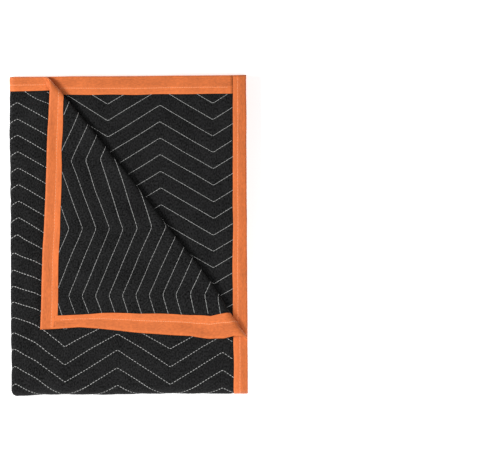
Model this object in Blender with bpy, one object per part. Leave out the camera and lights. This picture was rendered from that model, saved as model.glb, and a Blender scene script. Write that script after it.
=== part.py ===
"""Quilted moving pad with bound edges, folded in eight, one corner of its top layer turned back.

Units are metres and +Z is up. The origin is on the underside, in the middle of the packet.
+Y points to the side where the bound long edges lie, +X to the side of the two free ends.

Each piece is first drawn flat, in the pad's own measures: s runs along the pad from the end
with the turned corner, t runs across it from the edge that lies on top, and w is the height
above the middle of the cloth, towards the face that is the upper one on the top layer.
The flat piece is cut along every line where the cloth bends, and then folded.
"""
import math

import bmesh
import bpy

# Pad laid flat
PAD_LENGTH = 1.832
PAD_WIDTH = 1.016

# Quilted cloth: thickness on the crown between two seams, and in a seam
CROWN_THICKNESS = 0.0046
SEAM_THICKNESS = 0.0022

# Packet: distance between the middles of two layers, and how the ends lie over each other
LAYER_PITCH = 0.0054
TOP_OVERHANG = 0.0015
LOWER_SHORTFALL = 0.009
OUTER_FOLD_STEPS = 6
INNER_FOLD_STEPS = 6
RIGHT_FOLD_STEPS = 4
BEND_STEPS = 10

# Turned corner: distance from the corner to the crease, the crease's slope, how much the corner
# has stretched square to the crease, and its soft roll
CORNER_TO_CREASE = 0.277
CREASE_SLOPE = math.radians(46.05)
CORNER_STRETCH = 1.047
ROLL_RADIUS = 0.006
ROLL_OVERTURN = 0.19
ROLL_STEPS = 8
SETTLE_STEPS = 3

# Zigzag seams: distance between seams, half of a zigzag along the pad, and its height
SEAM_PITCH = 0.0261
HALF_ZIGZAG = 0.1033
ZIGZAG_HEIGHT = 0.0522
FIRST_PEAK_TOP = 0.0475
TOP_FOLD_PEAK = 0.448
FIRST_PEAK_SECOND = 0.166
TOP_ZIGZAGS = 4
HIDDEN_ZIGZAGS = 10
CROWN_SHARE = 0.28

# First seam's distance from the edge at a peak: place along the pad, distance
SEAM_OFFSETS = (
    (0.048, 0.0250),
    (0.151, 0.0203),
    (0.255, 0.0203),
    (0.357, 0.0160),
    (0.448, 0.0116),
    (1.563, 0.0163),
    (1.666, 0.0182),
    (1.768, 0.0162),
)

# Drift of the seams where the quilting ran unevenly: distance from the edge, drift towards it
SEAM_DRIFT = (
    (0.240, 0.0000),
    (0.330, 0.0025),
    (0.390, 0.0075),
    (0.425, 0.0095),
    (0.460, 0.0065),
    (0.500, 0.0050),
)

# Binding: thickness, gaps to the cloth's faces and edge, and how far the cloth swells beside it
BINDING_THICKNESS = 0.0009
FIT_GAP = 0.0003
EDGE_GAP = 0.0008
SWELL = 0.008

# Long upper binding, which drifts over the edge: place along the pad, width on each face
LONG_UPPER_WIDTHS = (
    (0.000, 0.0205, 0.0300),
    (0.480, 0.0205, 0.0280),
    (1.350, 0.0250, 0.0270),
    (PAD_LENGTH, 0.0250, 0.0270),
)

# Other bindings: width on the outer face, width on the inner face
LONG_LOWER_WIDTHS = (0.024, 0.027)
SHORT_TURNED_WIDTHS = (0.0255, 0.0285)
SHORT_SECOND_WIDTHS = (0.026, 0.0245)

# Quilting that the turned corner or the top layer hides is left flat past this margin
HIDDEN_MARGIN = 0.025
QUILTING_FADE = 0.010

# Distances within which a cut keeps to a corner that is already there
FOLD_SNAP = 0.00005
SEAM_SNAP = 0.0003

# Finishes: base colour, roughness
CLOTH_FINISH = ((0.022, 0.022, 0.023, 1.0), 0.92)
BINDING_FINISH = ((0.80, 0.22, 0.055, 1.0), 0.62)

OUTER = 1
INNER = -1


def clamp(value):
    return min(1.0, max(0.0, value))


def between(table, place, column):
    """Value of a table's column at a place, on straight lines from row to row."""
    if place <= table[0][0]:
        return table[0][column]
    for low, high in zip(table, table[1:]):
        if place <= high[0]:
            share = (place - low[0]) / (high[0] - low[0])
            return low[column] + share * (high[column] - low[column])
    return table[-1][column]


# Packet's section, from free end to free end

ARCS_LENGTH = 2.5 * math.pi * LAYER_PITCH
SECOND_RUN = (PAD_LENGTH - ARCS_LENGTH - TOP_OVERHANG + 2 * LOWER_SHORTFALL) / 4
TOP_RUN = SECOND_RUN + TOP_OVERHANG
LOWER_RUN = SECOND_RUN - LOWER_SHORTFALL
OUTER_ARC = 1.5 * math.pi * LAYER_PITCH
INNER_ARC = 0.5 * math.pi * LAYER_PITCH

# Runs and folds in order: length, angle turned, steps
SECTION = (
    (TOP_RUN, 0.0, 1),
    (OUTER_ARC, math.pi, OUTER_FOLD_STEPS),
    (LOWER_RUN, 0.0, 1),
    (INNER_ARC, math.pi, RIGHT_FOLD_STEPS),
    (LOWER_RUN, 0.0, 1),
    (INNER_ARC, -math.pi, INNER_FOLD_STEPS),
    (SECOND_RUN, 0.0, 1),
)
SECOND_START = PAD_LENGTH - SECOND_RUN
OUTER_FOLD_END = TOP_RUN + OUTER_ARC

# Bend of the four layers: the top layer is outermost, with its straight runs on both sides
LAYERS = 4
BEND_RADIUS = (LAYERS - 0.5) * LAYER_PITCH
BEND_LENGTH = math.pi * BEND_RADIUS
STRAIGHT_WIDTH = (PAD_WIDTH - BEND_LENGTH) / 2
BEND_END = STRAIGHT_WIDTH + BEND_LENGTH

# Centre of the packet's box, measured from the left folds' axis and the bound edge
HALF_CROWN = CROWN_THICKNESS / 2
HALF_SEAM = SEAM_THICKNESS / 2
HALF_BOUND = HALF_SEAM + FIT_GAP + BINDING_THICKNESS
EDGE_REACH = EDGE_GAP + BINDING_THICKNESS
BOX_LEFT = -(1.5 * LAYER_PITCH + HALF_CROWN)
BOX_RIGHT = TOP_RUN + EDGE_REACH
BOX_FRONT = -(STRAIGHT_WIDTH + BEND_RADIUS + HALF_BOUND)
BOX_BACK = EDGE_REACH
UNDERSIDE = -(LAYERS * LAYER_PITCH + HALF_BOUND)


def section_point(s, w):
    """Place in the packet's section, x and z, of a point at s along the pad and w above it."""
    x, z, heading = TOP_RUN, (LAYERS - 1) * LAYER_PITCH, math.pi
    left = s
    for row, (length, turn, _) in enumerate(SECTION):
        is_last = left <= length or row == len(SECTION) - 1
        far = left if is_last else length
        if turn:
            radius = length / turn
            after = heading + far / radius
            x += radius * (math.sin(after) - math.sin(heading))
            z -= radius * (math.cos(after) - math.cos(heading))
            heading = after
        else:
            x += far * math.cos(heading)
            z += far * math.sin(heading)
        if is_last:
            break
        left -= length
    return x + w * math.sin(heading), z - w * math.cos(heading)


def roll_stations():
    """Soft roll of the turned corner: run along the cloth, reach, height, and skin direction."""
    turn = math.pi + ROLL_OVERTURN
    chord = 2 * ROLL_RADIUS * math.sin(turn / ROLL_STEPS / 2)
    headings = [turn * (step + 0.5) / ROLL_STEPS for step in range(ROLL_STEPS)]
    top = sum(chord * math.sin(heading) for heading in headings)
    easing = [1 - (step + 0.5) / SETTLE_STEPS for step in range(SETTLE_STEPS)]
    settling = [math.pi + ROLL_OVERTURN * share for share in easing]
    settle = (top - LAYER_PITCH) / sum(-math.sin(heading) for heading in settling)
    pieces = [(chord, heading) for heading in headings] + [(settle, heading) for heading in settling]
    stations = []
    run, reach, height = 0.0, 0.0, 0.0
    before = 0.0
    for length, heading in pieces + [(0.0, math.pi)]:
        middle = (before + heading) / 2
        stretch = 1 / math.cos((heading - before) / 2)
        stations.append((run, reach, height, -math.sin(middle) * stretch, math.cos(middle) * stretch))
        run += length
        reach += length * math.cos(heading)
        height += length * math.sin(heading)
        before = heading
    return stations


ROLL = roll_stations()
ROLL_END = ROLL[-1][0]
MIRROR_RUN = (ROLL[-1][0] + ROLL[-1][1]) / 2
CREASE_S = math.sin(CREASE_SLOPE)
CREASE_T = math.cos(CREASE_SLOPE)


def crease_run(s, t):
    """Distance past the roll's start, square to the crease, towards the corner."""
    return CORNER_TO_CREASE + MIRROR_RUN - (CREASE_S * s + CREASE_T * t)


def roll_point(run, w):
    """Reach and height of a point of the turned corner, w above the cloth's middle."""
    if run >= ROLL_END:
        return ROLL[-1][1] - (run - ROLL_END) * CORNER_STRETCH, ROLL[-1][2] - w
    for low, high in zip(ROLL, ROLL[1:]):
        if run <= high[0]:
            share = (run - low[0]) / (high[0] - low[0])
            reach, height, across, up = (a + share * (b - a) for a, b in zip(low[1:], high[1:]))
            return reach + w * across, height + w * up
    return 0.0, 0.0


def folded_point(s, t, w):
    """Place of a point of the flat pad once the pad is folded."""
    run = crease_run(s, t)
    if run > 0 and s < TOP_RUN and t < STRAIGHT_WIDTH:
        reach, height = roll_point(run, w)
        x = TOP_RUN - s + CREASE_S * (reach - run)
        y = -t + CREASE_T * (reach - run)
        z = (LAYERS - 1) * LAYER_PITCH + height
    else:
        x, height = section_point(s, w)
        radius = height + LAYER_PITCH / 2
        angle = math.pi * clamp((t - STRAIGHT_WIDTH) / BEND_LENGTH)
        y = -min(t, STRAIGHT_WIDTH) - radius * math.sin(angle) + max(0.0, t - BEND_END)
        z = -LAYER_PITCH / 2 + radius * math.cos(angle)
    return x - (BOX_LEFT + BOX_RIGHT) / 2, y - (BOX_FRONT + BOX_BACK) / 2, z - UNDERSIDE


def fold_places():
    """Places along the pad where its section starts, steps or ends a fold."""
    places = []
    start = 0.0
    for length, turn, steps in SECTION:
        if turn:
            places += [start + length * step / steps for step in range(steps + 1)]
        start += length
    return places


def bend_places():
    return [STRAIGHT_WIDTH + BEND_LENGTH * step / BEND_STEPS for step in range(BEND_STEPS + 1)]


# Cutting a flat piece along a straight line, a * s + b * t = c

def cut(piece, a, b, c, wanted, snap=FOLD_SNAP):
    """Cut the faces whose middle is wanted."""
    faces = [face for face in piece.faces if wanted(face.calc_center_median())]
    corners = {corner for face in faces for corner in face.verts}
    sides = [corner.co.x * a + corner.co.y * b - c for corner in corners]
    if not sides or min(sides) > -snap or max(sides) < snap:
        return
    edges = {edge for face in faces for edge in face.edges}
    size = a * a + b * b
    bmesh.ops.bisect_plane(
        piece,
        geom=faces + list(edges) + list(corners),
        dist=snap,
        plane_co=(a * c / size, b * c / size, 0.0),
        plane_no=(a, b, 0.0),
    )


def cut_between(piece, start, end, wanted, snap):
    """Cut along the line through two points of the flat pad, between their places along it."""
    a = start[1] - end[1]
    b = end[0] - start[0]
    size = math.hypot(a, b)
    a, b = a / size, b / size

    def in_column(middle):
        return start[0] < middle.x < end[0] and wanted(middle)

    cut(piece, a, b, a * start[0] + b * start[1], in_column, snap)


def everywhere(middle):
    return True


def on_top_layer(middle):
    return middle.x < TOP_RUN and middle.y < STRAIGHT_WIDTH


def cut_folds(piece):
    """Cut a flat piece along every line where the packet bends or the corner rolls."""
    for place in fold_places():
        cut(piece, 1, 0, place, everywhere)
    for place in bend_places():
        cut(piece, 0, 1, place, everywhere)
    for run, *_ in ROLL:
        cut(piece, CREASE_S, CREASE_T, CORNER_TO_CREASE + MIRROR_RUN - run, on_top_layer)


# Quilting

def zigzag_corners():
    """Corners of the zigzag along the pad: place, and how far the seam has dropped there."""
    places = [(FIRST_PEAK_TOP + (i - 1) * HALF_ZIGZAG, (i + 1) % 2) for i in range(TOP_ZIGZAGS + 1)]
    places.append((TOP_FOLD_PEAK, 0))
    last_peak = PAD_LENGTH - FIRST_PEAK_SECOND - 2 * HALF_ZIGZAG
    step = (last_peak - TOP_FOLD_PEAK) / HIDDEN_ZIGZAGS
    places += [(TOP_FOLD_PEAK + i * step, i % 2) for i in range(1, HIDDEN_ZIGZAGS)]
    places += [(last_peak + i * HALF_ZIGZAG, i % 2) for i in range(5)]
    return [(s, between(SEAM_OFFSETS, s, 1) + low * ZIGZAG_HEIGHT) for s, low in places]


ZIGZAG = zigzag_corners()


def seam_phase(s, t):
    """Seams counted across the pad from its edge: whole numbers lie on a seam."""
    return (t + between(SEAM_DRIFT, t, 1) - between(ZIGZAG, s, 1)) / SEAM_PITCH


def drifted(even):
    """Distance from the edge of a seam that would lie at an even distance without the drift."""
    rows = [(t + drift, t) for t, drift in SEAM_DRIFT]
    if even <= rows[0][0]:
        return even
    if even >= rows[-1][0]:
        return even - SEAM_DRIFT[-1][1]
    return between(rows, even, 1)


def binding_widths(side, s):
    """Widths of the four bindings on one face: long upper, long lower, turned end, second end."""
    column = 0 if side == OUTER else 1
    return (
        between(LONG_UPPER_WIDTHS, s, 1 + column),
        LONG_LOWER_WIDTHS[column],
        SHORT_TURNED_WIDTHS[column],
        SHORT_SECOND_WIDTHS[column],
    )


def past_bindings(side, s, t):
    """Distance from a point to the nearest binding on one face, less than zero under it."""
    upper, lower, turned, second = binding_widths(side, s)
    return min(t - upper, PAD_WIDTH - lower - t, s - turned, PAD_LENGTH - second - s) - FIT_GAP


def under_turned_corner(s, t):
    """Distance from a point of the top layer to the turned corner's edge, over zero inside."""
    past = CREASE_S * s + CREASE_T * t - CORNER_TO_CREASE
    return min(s - 2 * past * CREASE_S, t - 2 * past * CREASE_T)


def beside_crease(s, t):
    """Distance from a point of the second layer to the crease above it, over zero in view."""
    return CORNER_TO_CREASE - CREASE_S * (PAD_LENGTH - s + TOP_OVERHANG) - CREASE_T * t


def quilting_share(side, s, t):
    """How much of the quilting's relief a point has: none where nothing shows or rests."""
    if side == OUTER:
        in_fold = min(OUTER_FOLD_END - s, max(s - TOP_RUN, BEND_END - t))
        hidden = HIDDEN_MARGIN - under_turned_corner(s, t)
        room = min(in_fold, -crease_run(s, t), max(hidden, s - TOP_RUN, t - STRAIGHT_WIDTH))
    elif s < TOP_RUN:
        room = crease_run(s, t) if t < STRAIGHT_WIDTH else 0.0
    else:
        room = min(s - SECOND_START, beside_crease(s, t) + HIDDEN_MARGIN, STRAIGHT_WIDTH - t)
    return clamp(room / QUILTING_FADE)


def half_thickness(side, s, t):
    """Height of a skin over the cloth's middle: crowns between seams, flat under bindings."""
    phase = seam_phase(s, t)
    dip = clamp(1 - abs(phase - round(phase)) / CROWN_SHARE) * quilting_share(side, s, t)
    swell = clamp(past_bindings(side, s, t) / SWELL)
    return HALF_SEAM + (HALF_CROWN - HALF_SEAM) * swell * (1 - dip)


def cut_binding_lines(piece):
    """Cut the cloth where its bindings end and where it has swollen to its full thickness."""
    for side in (OUTER, INNER):
        def on_side(middle, side=side):
            return middle.z * side > 0

        _, lower, turned, second = binding_widths(side, 0.0)
        for past in (FIT_GAP, FIT_GAP + SWELL):
            for low, high in zip(LONG_UPPER_WIDTHS, LONG_UPPER_WIDTHS[1:]):
                column = 1 if side == OUTER else 2
                start = (low[0], low[column] + past)
                end = (high[0], high[column] + past)
                cut_between(piece, start, end, on_side, FOLD_SNAP)
            cut(piece, 0, 1, PAD_WIDTH - lower - past, on_side)
            cut(piece, 1, 0, turned + past, on_side)
            cut(piece, 1, 0, PAD_LENGTH - second - past, on_side)


def cut_hidden_limits(piece):
    """Cut the cloth where the quilting in view ends under the turned corner or the top layer."""

    def top_outer(middle):
        return middle.z > 0 and on_top_layer(middle) and crease_run(middle.x, middle.y) < 0

    def second_inner(middle):
        return middle.z < 0 and middle.x > SECOND_START and middle.y < STRAIGHT_WIDTH

    limit = HIDDEN_MARGIN - 2 * CORNER_TO_CREASE * CREASE_S
    cut(piece, 1 - 2 * CREASE_S ** 2, -2 * CREASE_S * CREASE_T, limit, top_outer)
    limit = HIDDEN_MARGIN - 2 * CORNER_TO_CREASE * CREASE_T
    cut(piece, -2 * CREASE_S * CREASE_T, 1 - 2 * CREASE_T ** 2, limit, top_outer)
    far = PAD_LENGTH + TOP_OVERHANG
    limit = CREASE_S * far - CORNER_TO_CREASE - HIDDEN_MARGIN
    cut(piece, CREASE_S, -CREASE_T, limit, second_inner)


def cut_seams(piece):
    """Cut both faces of the cloth along each seam and each crown's rim, where they show."""
    for side in (OUTER, INNER):
        def quilted(middle, side=side):
            if middle.z * side <= 0 or past_bindings(side, middle.x, middle.y) < 0:
                return False
            return quilting_share(side, middle.x, middle.y) > 0

        for place, _ in ZIGZAG:
            cut(piece, 1, 0, place, quilted, SEAM_SNAP)
        seams = int(PAD_WIDTH / SEAM_PITCH) + 1
        for low, high in zip(ZIGZAG, ZIGZAG[1:]):
            for seam in range(-2, seams):
                for rim in (0.0, CROWN_SHARE, 1 - CROWN_SHARE):
                    drop = (seam + rim) * SEAM_PITCH
                    start = (low[0], drifted(low[1] + drop))
                    end = (high[0], drifted(high[1] + drop))
                    cut_between(piece, start, end, quilted, SEAM_SNAP)


# Pieces

def fold_piece(piece, skin):
    """Turn a flat, cut piece into its folded form."""
    bmesh.ops.triangulate(piece, faces=piece.faces[:])
    for corner in piece.verts:
        s, t, w = corner.co
        corner.co = folded_point(s, t, skin(s, t, w))
    bmesh.ops.recalc_face_normals(piece, faces=piece.faces[:])
    if piece.calc_volume(signed=True) < 0:
        bmesh.ops.reverse_faces(piece, faces=piece.faces[:])


def add_piece(collection, name, piece, material):
    mesh = bpy.data.meshes.new(name)
    piece.to_mesh(mesh)
    piece.free()
    mesh.materials.append(material)
    obj = bpy.data.objects.new(name, mesh)
    collection.objects.link(obj)
    return obj


def quilted_cloth():
    """The two covers and their wadding, sewn together by the zigzag seams, as one folded sheet."""
    piece = bmesh.new()
    bmesh.ops.create_cube(piece, size=1.0)
    for corner in piece.verts:
        corner.co.x = (corner.co.x + 0.5) * PAD_LENGTH
        corner.co.y = (corner.co.y + 0.5) * PAD_WIDTH
    cut_folds(piece)
    cut_binding_lines(piece)
    cut_hidden_limits(piece)
    cut_seams(piece)

    def skin(s, t, w):
        side = OUTER if w > 0 else INNER
        return side * half_thickness(side, s, t)

    fold_piece(piece, skin)
    return piece


def binding_profile(outer, inner):
    """Section of a binding round the cloth's edge: distance into the cloth, height over its middle."""
    low = HALF_SEAM + FIT_GAP
    high = HALF_BOUND
    return (
        (outer, low), (outer, high), (0.0, high), (-EDGE_REACH, low - FIT_GAP),
        (-EDGE_REACH, FIT_GAP - low), (0.0, -high), (inner, -high), (inner, -low),
        (-EDGE_GAP, -low), (-EDGE_GAP, low),
    )


def binding(widths, start, end, place):
    """A strip folded over one edge.

    widths: rows of place along the edge, width on the outer face, width on the inner face.
    start, end: where the strip ends on the outer and on the inner face.
    place: turns a distance along the edge and one into the cloth into s and t.
    """
    piece = bmesh.new()
    _, outer, inner = widths[0]
    profile = [piece.verts.new((0.0, into, w)) for into, w in binding_profile(outer, inner)]
    face = piece.faces.new(profile)
    grown = bmesh.ops.extrude_face_region(piece, geom=[face])["geom"]
    far = [corner for corner in grown if isinstance(corner, bmesh.types.BMVert)]
    for corner in far:
        corner.co.x = 1.0
    length = end[0] - start[0]
    for corner in piece.verts:
        corner.co.x = start[0] + corner.co.x * length
    for row in widths[1:-1]:
        cut(piece, 1, 0, row[0], everywhere)
    for corner in piece.verts:
        column = 0 if corner.co.z > 0 else 1
        if corner.co.y > FIT_GAP:
            corner.co.y = between(widths, corner.co.x, 1 + column)
        if abs(corner.co.x - start[0]) < FIT_GAP:
            corner.co.x = start[column]
        elif abs(corner.co.x - end[0]) < FIT_GAP:
            corner.co.x = end[column]
    for corner in piece.verts:
        corner.co.x, corner.co.y = place(corner.co.x, corner.co.y)
    cut_folds(piece)
    fold_piece(piece, lambda s, t, w: w)
    return piece


def steady(widths):
    """Width table of a binding that keeps its widths."""
    return ((0.0, *widths), (PAD_LENGTH, *widths))


def bindings():
    """The four strips: at each corner one runs through and the other butts against it."""
    upper_start = LONG_UPPER_WIDTHS[0][1:]
    return {
        "binding_long_upper": binding(
            LONG_UPPER_WIDTHS,
            (-EDGE_REACH, -EDGE_REACH),
            tuple(PAD_LENGTH - width - FIT_GAP for width in SHORT_SECOND_WIDTHS),
            lambda along, into: (along, into),
        ),
        "binding_short_turned": binding(
            steady(SHORT_TURNED_WIDTHS),
            tuple(width + FIT_GAP for width in upper_start),
            (PAD_WIDTH + EDGE_REACH, PAD_WIDTH + EDGE_REACH),
            lambda along, into: (into, along),
        ),
        "binding_short_second": binding(
            steady(SHORT_SECOND_WIDTHS),
            (-EDGE_REACH, -EDGE_REACH),
            tuple(PAD_WIDTH - width - FIT_GAP for width in LONG_LOWER_WIDTHS),
            lambda along, into: (PAD_LENGTH - into, along),
        ),
        "binding_long_lower": binding(
            steady(LONG_LOWER_WIDTHS),
            tuple(width + FIT_GAP for width in SHORT_TURNED_WIDTHS),
            (PAD_LENGTH + EDGE_REACH, PAD_LENGTH + EDGE_REACH),
            lambda along, into: (along, PAD_WIDTH - into),
        ),
    }


def new_material(name, colour, roughness):
    material = bpy.data.materials.new(name)
    material.use_nodes = True
    shader = material.node_tree.nodes["Principled BSDF"]
    shader.inputs["Base Color"].default_value = colour
    shader.inputs["Roughness"].default_value = roughness
    shader.inputs["Metallic"].default_value = 0.0
    return material


def main():
    for obj in list(bpy.data.objects):
        bpy.data.objects.remove(obj, do_unlink=True)
    collection = bpy.data.collections.new("moving_pad")
    bpy.context.scene.collection.children.link(collection)
    cloth = new_material("black_cloth", *CLOTH_FINISH)
    orange = new_material("orange_binding", *BINDING_FINISH)
    add_piece(collection, "quilted_cloth", quilted_cloth(), cloth)
    for name, piece in bindings().items():
        add_piece(collection, name, piece, orange)


main()
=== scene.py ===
"""Looks of a folded moving pad: black quilted cloth, orange bindings and their stitches.

Every piece is drawn on the flat pad first, in metres: s along the pad from the end with the
turned corner, t across it from the edge that lies on top, w the height over the cloth's middle.
folded() then puts it in its place in the packet, the same way for cloth, binding and thread.
"""
import math

import bmesh
import bpy
import numpy as np
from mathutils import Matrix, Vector


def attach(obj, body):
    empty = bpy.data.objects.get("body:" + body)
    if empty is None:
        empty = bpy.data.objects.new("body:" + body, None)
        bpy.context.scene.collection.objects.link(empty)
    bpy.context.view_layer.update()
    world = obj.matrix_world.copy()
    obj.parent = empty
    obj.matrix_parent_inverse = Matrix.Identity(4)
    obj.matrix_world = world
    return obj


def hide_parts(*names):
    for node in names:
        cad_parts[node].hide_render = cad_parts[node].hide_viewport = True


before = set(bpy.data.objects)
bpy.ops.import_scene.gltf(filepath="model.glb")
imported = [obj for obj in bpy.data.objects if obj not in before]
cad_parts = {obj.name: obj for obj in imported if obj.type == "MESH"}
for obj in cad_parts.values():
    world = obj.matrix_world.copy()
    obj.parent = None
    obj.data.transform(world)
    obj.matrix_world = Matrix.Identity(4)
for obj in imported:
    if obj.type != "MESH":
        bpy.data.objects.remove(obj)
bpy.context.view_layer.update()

MM = 0.001
OUTER = 1
INNER = -1

# Pad laid flat, and the thickness of its quilted cloth
PAD_LENGTH = 1.832
PAD_WIDTH = 1.016
HALF_CROWN = 0.0023
HALF_SEAM = 0.0011

# Packet: the pad's length is folded in LAYERS runs, and then its width is bent in half
LAYER_PITCH = 0.0054
TOP_OVERHANG = 0.0015       # of the top run's free end past the second run's
LOWER_SHORTFALL = 0.009     # of the two lower runs
LAYERS = 4
EDGE_REACH = 0.0017         # of a binding past the cloth's edge

# Lengths of the folds and of the runs between them, and places along the pad
OUTER_ARC = 1.5 * math.pi * LAYER_PITCH
INNER_ARC = 0.5 * math.pi * LAYER_PITCH
SECOND_RUN = (PAD_LENGTH - OUTER_ARC - 2 * INNER_ARC - TOP_OVERHANG + 2 * LOWER_SHORTFALL) / 4
TOP_RUN = SECOND_RUN + TOP_OVERHANG
LOWER_RUN = SECOND_RUN - LOWER_SHORTFALL
OUTER_FOLD_END = TOP_RUN + OUTER_ARC
RIGHT_FOLD = OUTER_FOLD_END + LOWER_RUN
RIGHT_FOLD_END = RIGHT_FOLD + INNER_ARC
INNER_FOLD = RIGHT_FOLD_END + LOWER_RUN
SECOND_START = INNER_FOLD + INNER_ARC

# The bend across the pad's width
BEND_RADIUS = (LAYERS - 0.5) * LAYER_PITCH
BEND_LENGTH = math.pi * BEND_RADIUS
STRAIGHT_WIDTH = (PAD_WIDTH - BEND_LENGTH) / 2
BEND_END = STRAIGHT_WIDTH + BEND_LENGTH

# Turned corner, and the soft roll of cloth along its crease
CORNER_TO_CREASE = 0.277
CREASE_SLOPE = math.radians(46.05)
CREASE_S = math.sin(CREASE_SLOPE)
CREASE_T = math.cos(CREASE_SLOPE)
CORNER_STRETCH = 1.047
ROLL_RADIUS = 0.006
ROLL_OVERTURN = 0.19        # radians past half a turn, from which the cloth settles

# Zigzag seams
SEAM_PITCH = 0.0261
HALF_ZIGZAG = 0.1033
ZIGZAG_HEIGHT = 0.0522
FIRST_PEAK_TOP = 0.0475
TOP_FOLD_PEAK = 0.448
FIRST_PEAK_SECOND = 0.166
TOP_ZIGZAGS = 4
HIDDEN_ZIGZAGS = 10
SECOND_CORNERS = 5      # corners of the zigzag on the second layer
FIRST_SEAM = -3         # seams are counted from one that starts off the edge
SEAM_COUNT = int(PAD_WIDTH / SEAM_PITCH) + 1
SEAM_TURN = 0.006       # length over which a seam rounds each zigzag corner

# First seam's distance from the edge at a peak: place along the pad, distance
SEAM_OFFSETS = (
    (0.048, 0.0250), (0.151, 0.0203), (0.255, 0.0203), (0.357, 0.0160), (0.448, 0.0116),
    (1.563, 0.0163), (1.666, 0.0182), (1.768, 0.0162),
)

# Drift of the seams where the quilting ran unevenly: distance from the edge, drift towards it
SEAM_DRIFT = np.array([
    (0.0, 0.0), (0.240, 0.0), (0.330, 0.0025), (0.390, 0.0075), (0.425, 0.0095),
    (0.460, 0.0065), (0.500, 0.0050), (1.2, 0.0050),
])

# Binding widths: place along the edge, width on the outer face, width on the inner face
LONG_UPPER = (
    (0.000, 0.0205, 0.0309), (0.180, 0.0205, 0.0290), (0.250, 0.0205, 0.0283),
    (0.285, 0.0205, 0.0268), (0.330, 0.0205, 0.0243), (0.380, 0.0205, 0.0240),
    (0.480, 0.0205, 0.0275), (1.350, 0.0250, 0.0270), (PAD_LENGTH, 0.0250, 0.0270),
)
LONG_LOWER = ((0.000, 0.024, 0.027), (PAD_LENGTH, 0.024, 0.027))
SHORT_TURNED = (
    (0.000, 0.0265, 0.0190), (0.030, 0.0265, 0.0184), (0.075, 0.0260, 0.0188),
    (0.114, 0.0260, 0.0217), (0.151, 0.0255, 0.0231), (0.172, 0.0255, 0.0240),
    (0.211, 0.0255, 0.0237), (0.288, 0.0255, 0.0240), (0.325, 0.0255, 0.0258),
    (0.355, 0.0255, 0.0307), (0.420, 0.0255, 0.0310), (0.600, 0.0255, 0.0300),
    (PAD_WIDTH, 0.0255, 0.0300),
)
SHORT_SECOND = ((0.000, 0.026, 0.0228), (0.330, 0.026, 0.0257), (PAD_WIDTH, 0.026, 0.0245))
# Share of a binding's width from its fold to its stitches
STITCH_LINE = {OUTER: 0.52, INNER: 0.62}
BUTT_GAP = 0.3 * MM


# Folding

PAST_END = 0.05         # straight length added past each end of the section
FOLD_ROWS = 60
ROLL_STEP = 0.05 * MM


def section_table():
    """Columns of s, x, z and heading along the packet's section, close together in the folds."""
    x, z, heading, s = TOP_RUN, (LAYERS - 1) * LAYER_PITCH, math.pi, 0.0
    runs = (
        (TOP_RUN, 0.0), (OUTER_ARC, math.pi), (LOWER_RUN, 0.0), (INNER_ARC, math.pi),
        (LOWER_RUN, 0.0), (INNER_ARC, -math.pi), (SECOND_RUN, 0.0),
    )
    rows = [(-PAST_END, x + PAST_END, z, heading)]
    for length, turn in runs:
        steps = FOLD_ROWS if turn else 1
        for _ in range(steps):
            rows.append((s, x, z, heading))
            after = heading + turn / steps
            x += length / steps * math.cos((heading + after) / 2)
            z += length / steps * math.sin((heading + after) / 2)
            heading = after
            s += length / steps
    rows.append((s, x, z, heading))
    rows.append((s + PAST_END, x + PAST_END, z, heading))
    return np.array(rows).T


def roll_table():
    """Columns of run, reach, height and heading of the turned corner's soft roll."""
    turn = math.pi + ROLL_OVERTURN
    top = ROLL_RADIUS * (1 + math.cos(ROLL_OVERTURN))
    settle = 2 * (top - LAYER_PITCH) / ROLL_OVERTURN
    run = np.arange(0, turn * ROLL_RADIUS + settle, ROLL_STEP)
    eased = 1 - (run - turn * ROLL_RADIUS) / settle
    settling = math.pi + ROLL_OVERTURN * eased
    heading = np.where(run < turn * ROLL_RADIUS, run / ROLL_RADIUS, settling)
    reach = np.cumsum(np.cos(heading)) * ROLL_STEP
    height = np.cumsum(np.sin(heading)) * ROLL_STEP
    return run, reach, height, heading


SECTION = section_table()
ROLL = roll_table()
ROLL_END = ROLL[0][-1]
MIRROR_RUN = (ROLL_END + ROLL[1][-1]) / 2

# Place of the packet's raw origin, the left folds' axis at the bound edge, in the frame
SHIFT = np.array([
    -(TOP_RUN + EDGE_REACH - 1.5 * LAYER_PITCH - HALF_CROWN) / 2,
    (STRAIGHT_WIDTH + BEND_RADIUS + HALF_CROWN - EDGE_REACH) / 2,
    LAYERS * LAYER_PITCH + HALF_CROWN,
])


WAVE_COUNT = 6


def waves(points, length, seed):
    """Smooth uneven field, about -1 to 1, with bumps about length apart."""
    dice = np.random.default_rng(seed)
    total = np.zeros(len(points))
    for _ in range(WAVE_COUNT):
        way = dice.normal(size=3)
        way *= 2 * math.pi / length / np.linalg.norm(way) * dice.uniform(0.6, 1.3)
        total += np.sin(points @ way + dice.uniform(0, 2 * math.pi))
    return total / (WAVE_COUNT / 2)


# Height over the floor at which the packet's unevenness is whole, and its sideways amounts
UNEVEN_HEIGHT = 0.04
SWAY = 0.9 * MM
FINE_SWAY = 0.3 * MM

# Its waves sideways, for x and for y: distance between bumps, seed
SWAY_WAVES = ((0.16, 1), (0.19, 2))
FINE_SWAY_WAVES = ((0.06, 3), (0.07, 4))

# Its waves in height: millimetres, distance between bumps, seed
LEVEL_WAVES = ((0.7, 0.20, 5), (0.3, 0.07, 6))

# Soft swells of the top layers: x and y in the frame, radius, height
SWELLS = (
    (-0.190, -0.060, 0.050, 0.0022),
    (-0.150, -0.215, 0.070, 0.0016),
    (0.060, -0.235, 0.090, 0.0012),
    (0.150, 0.160, 0.080, 0.0012),
    (-0.080, -0.020, 0.080, 0.0014),
)


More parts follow.
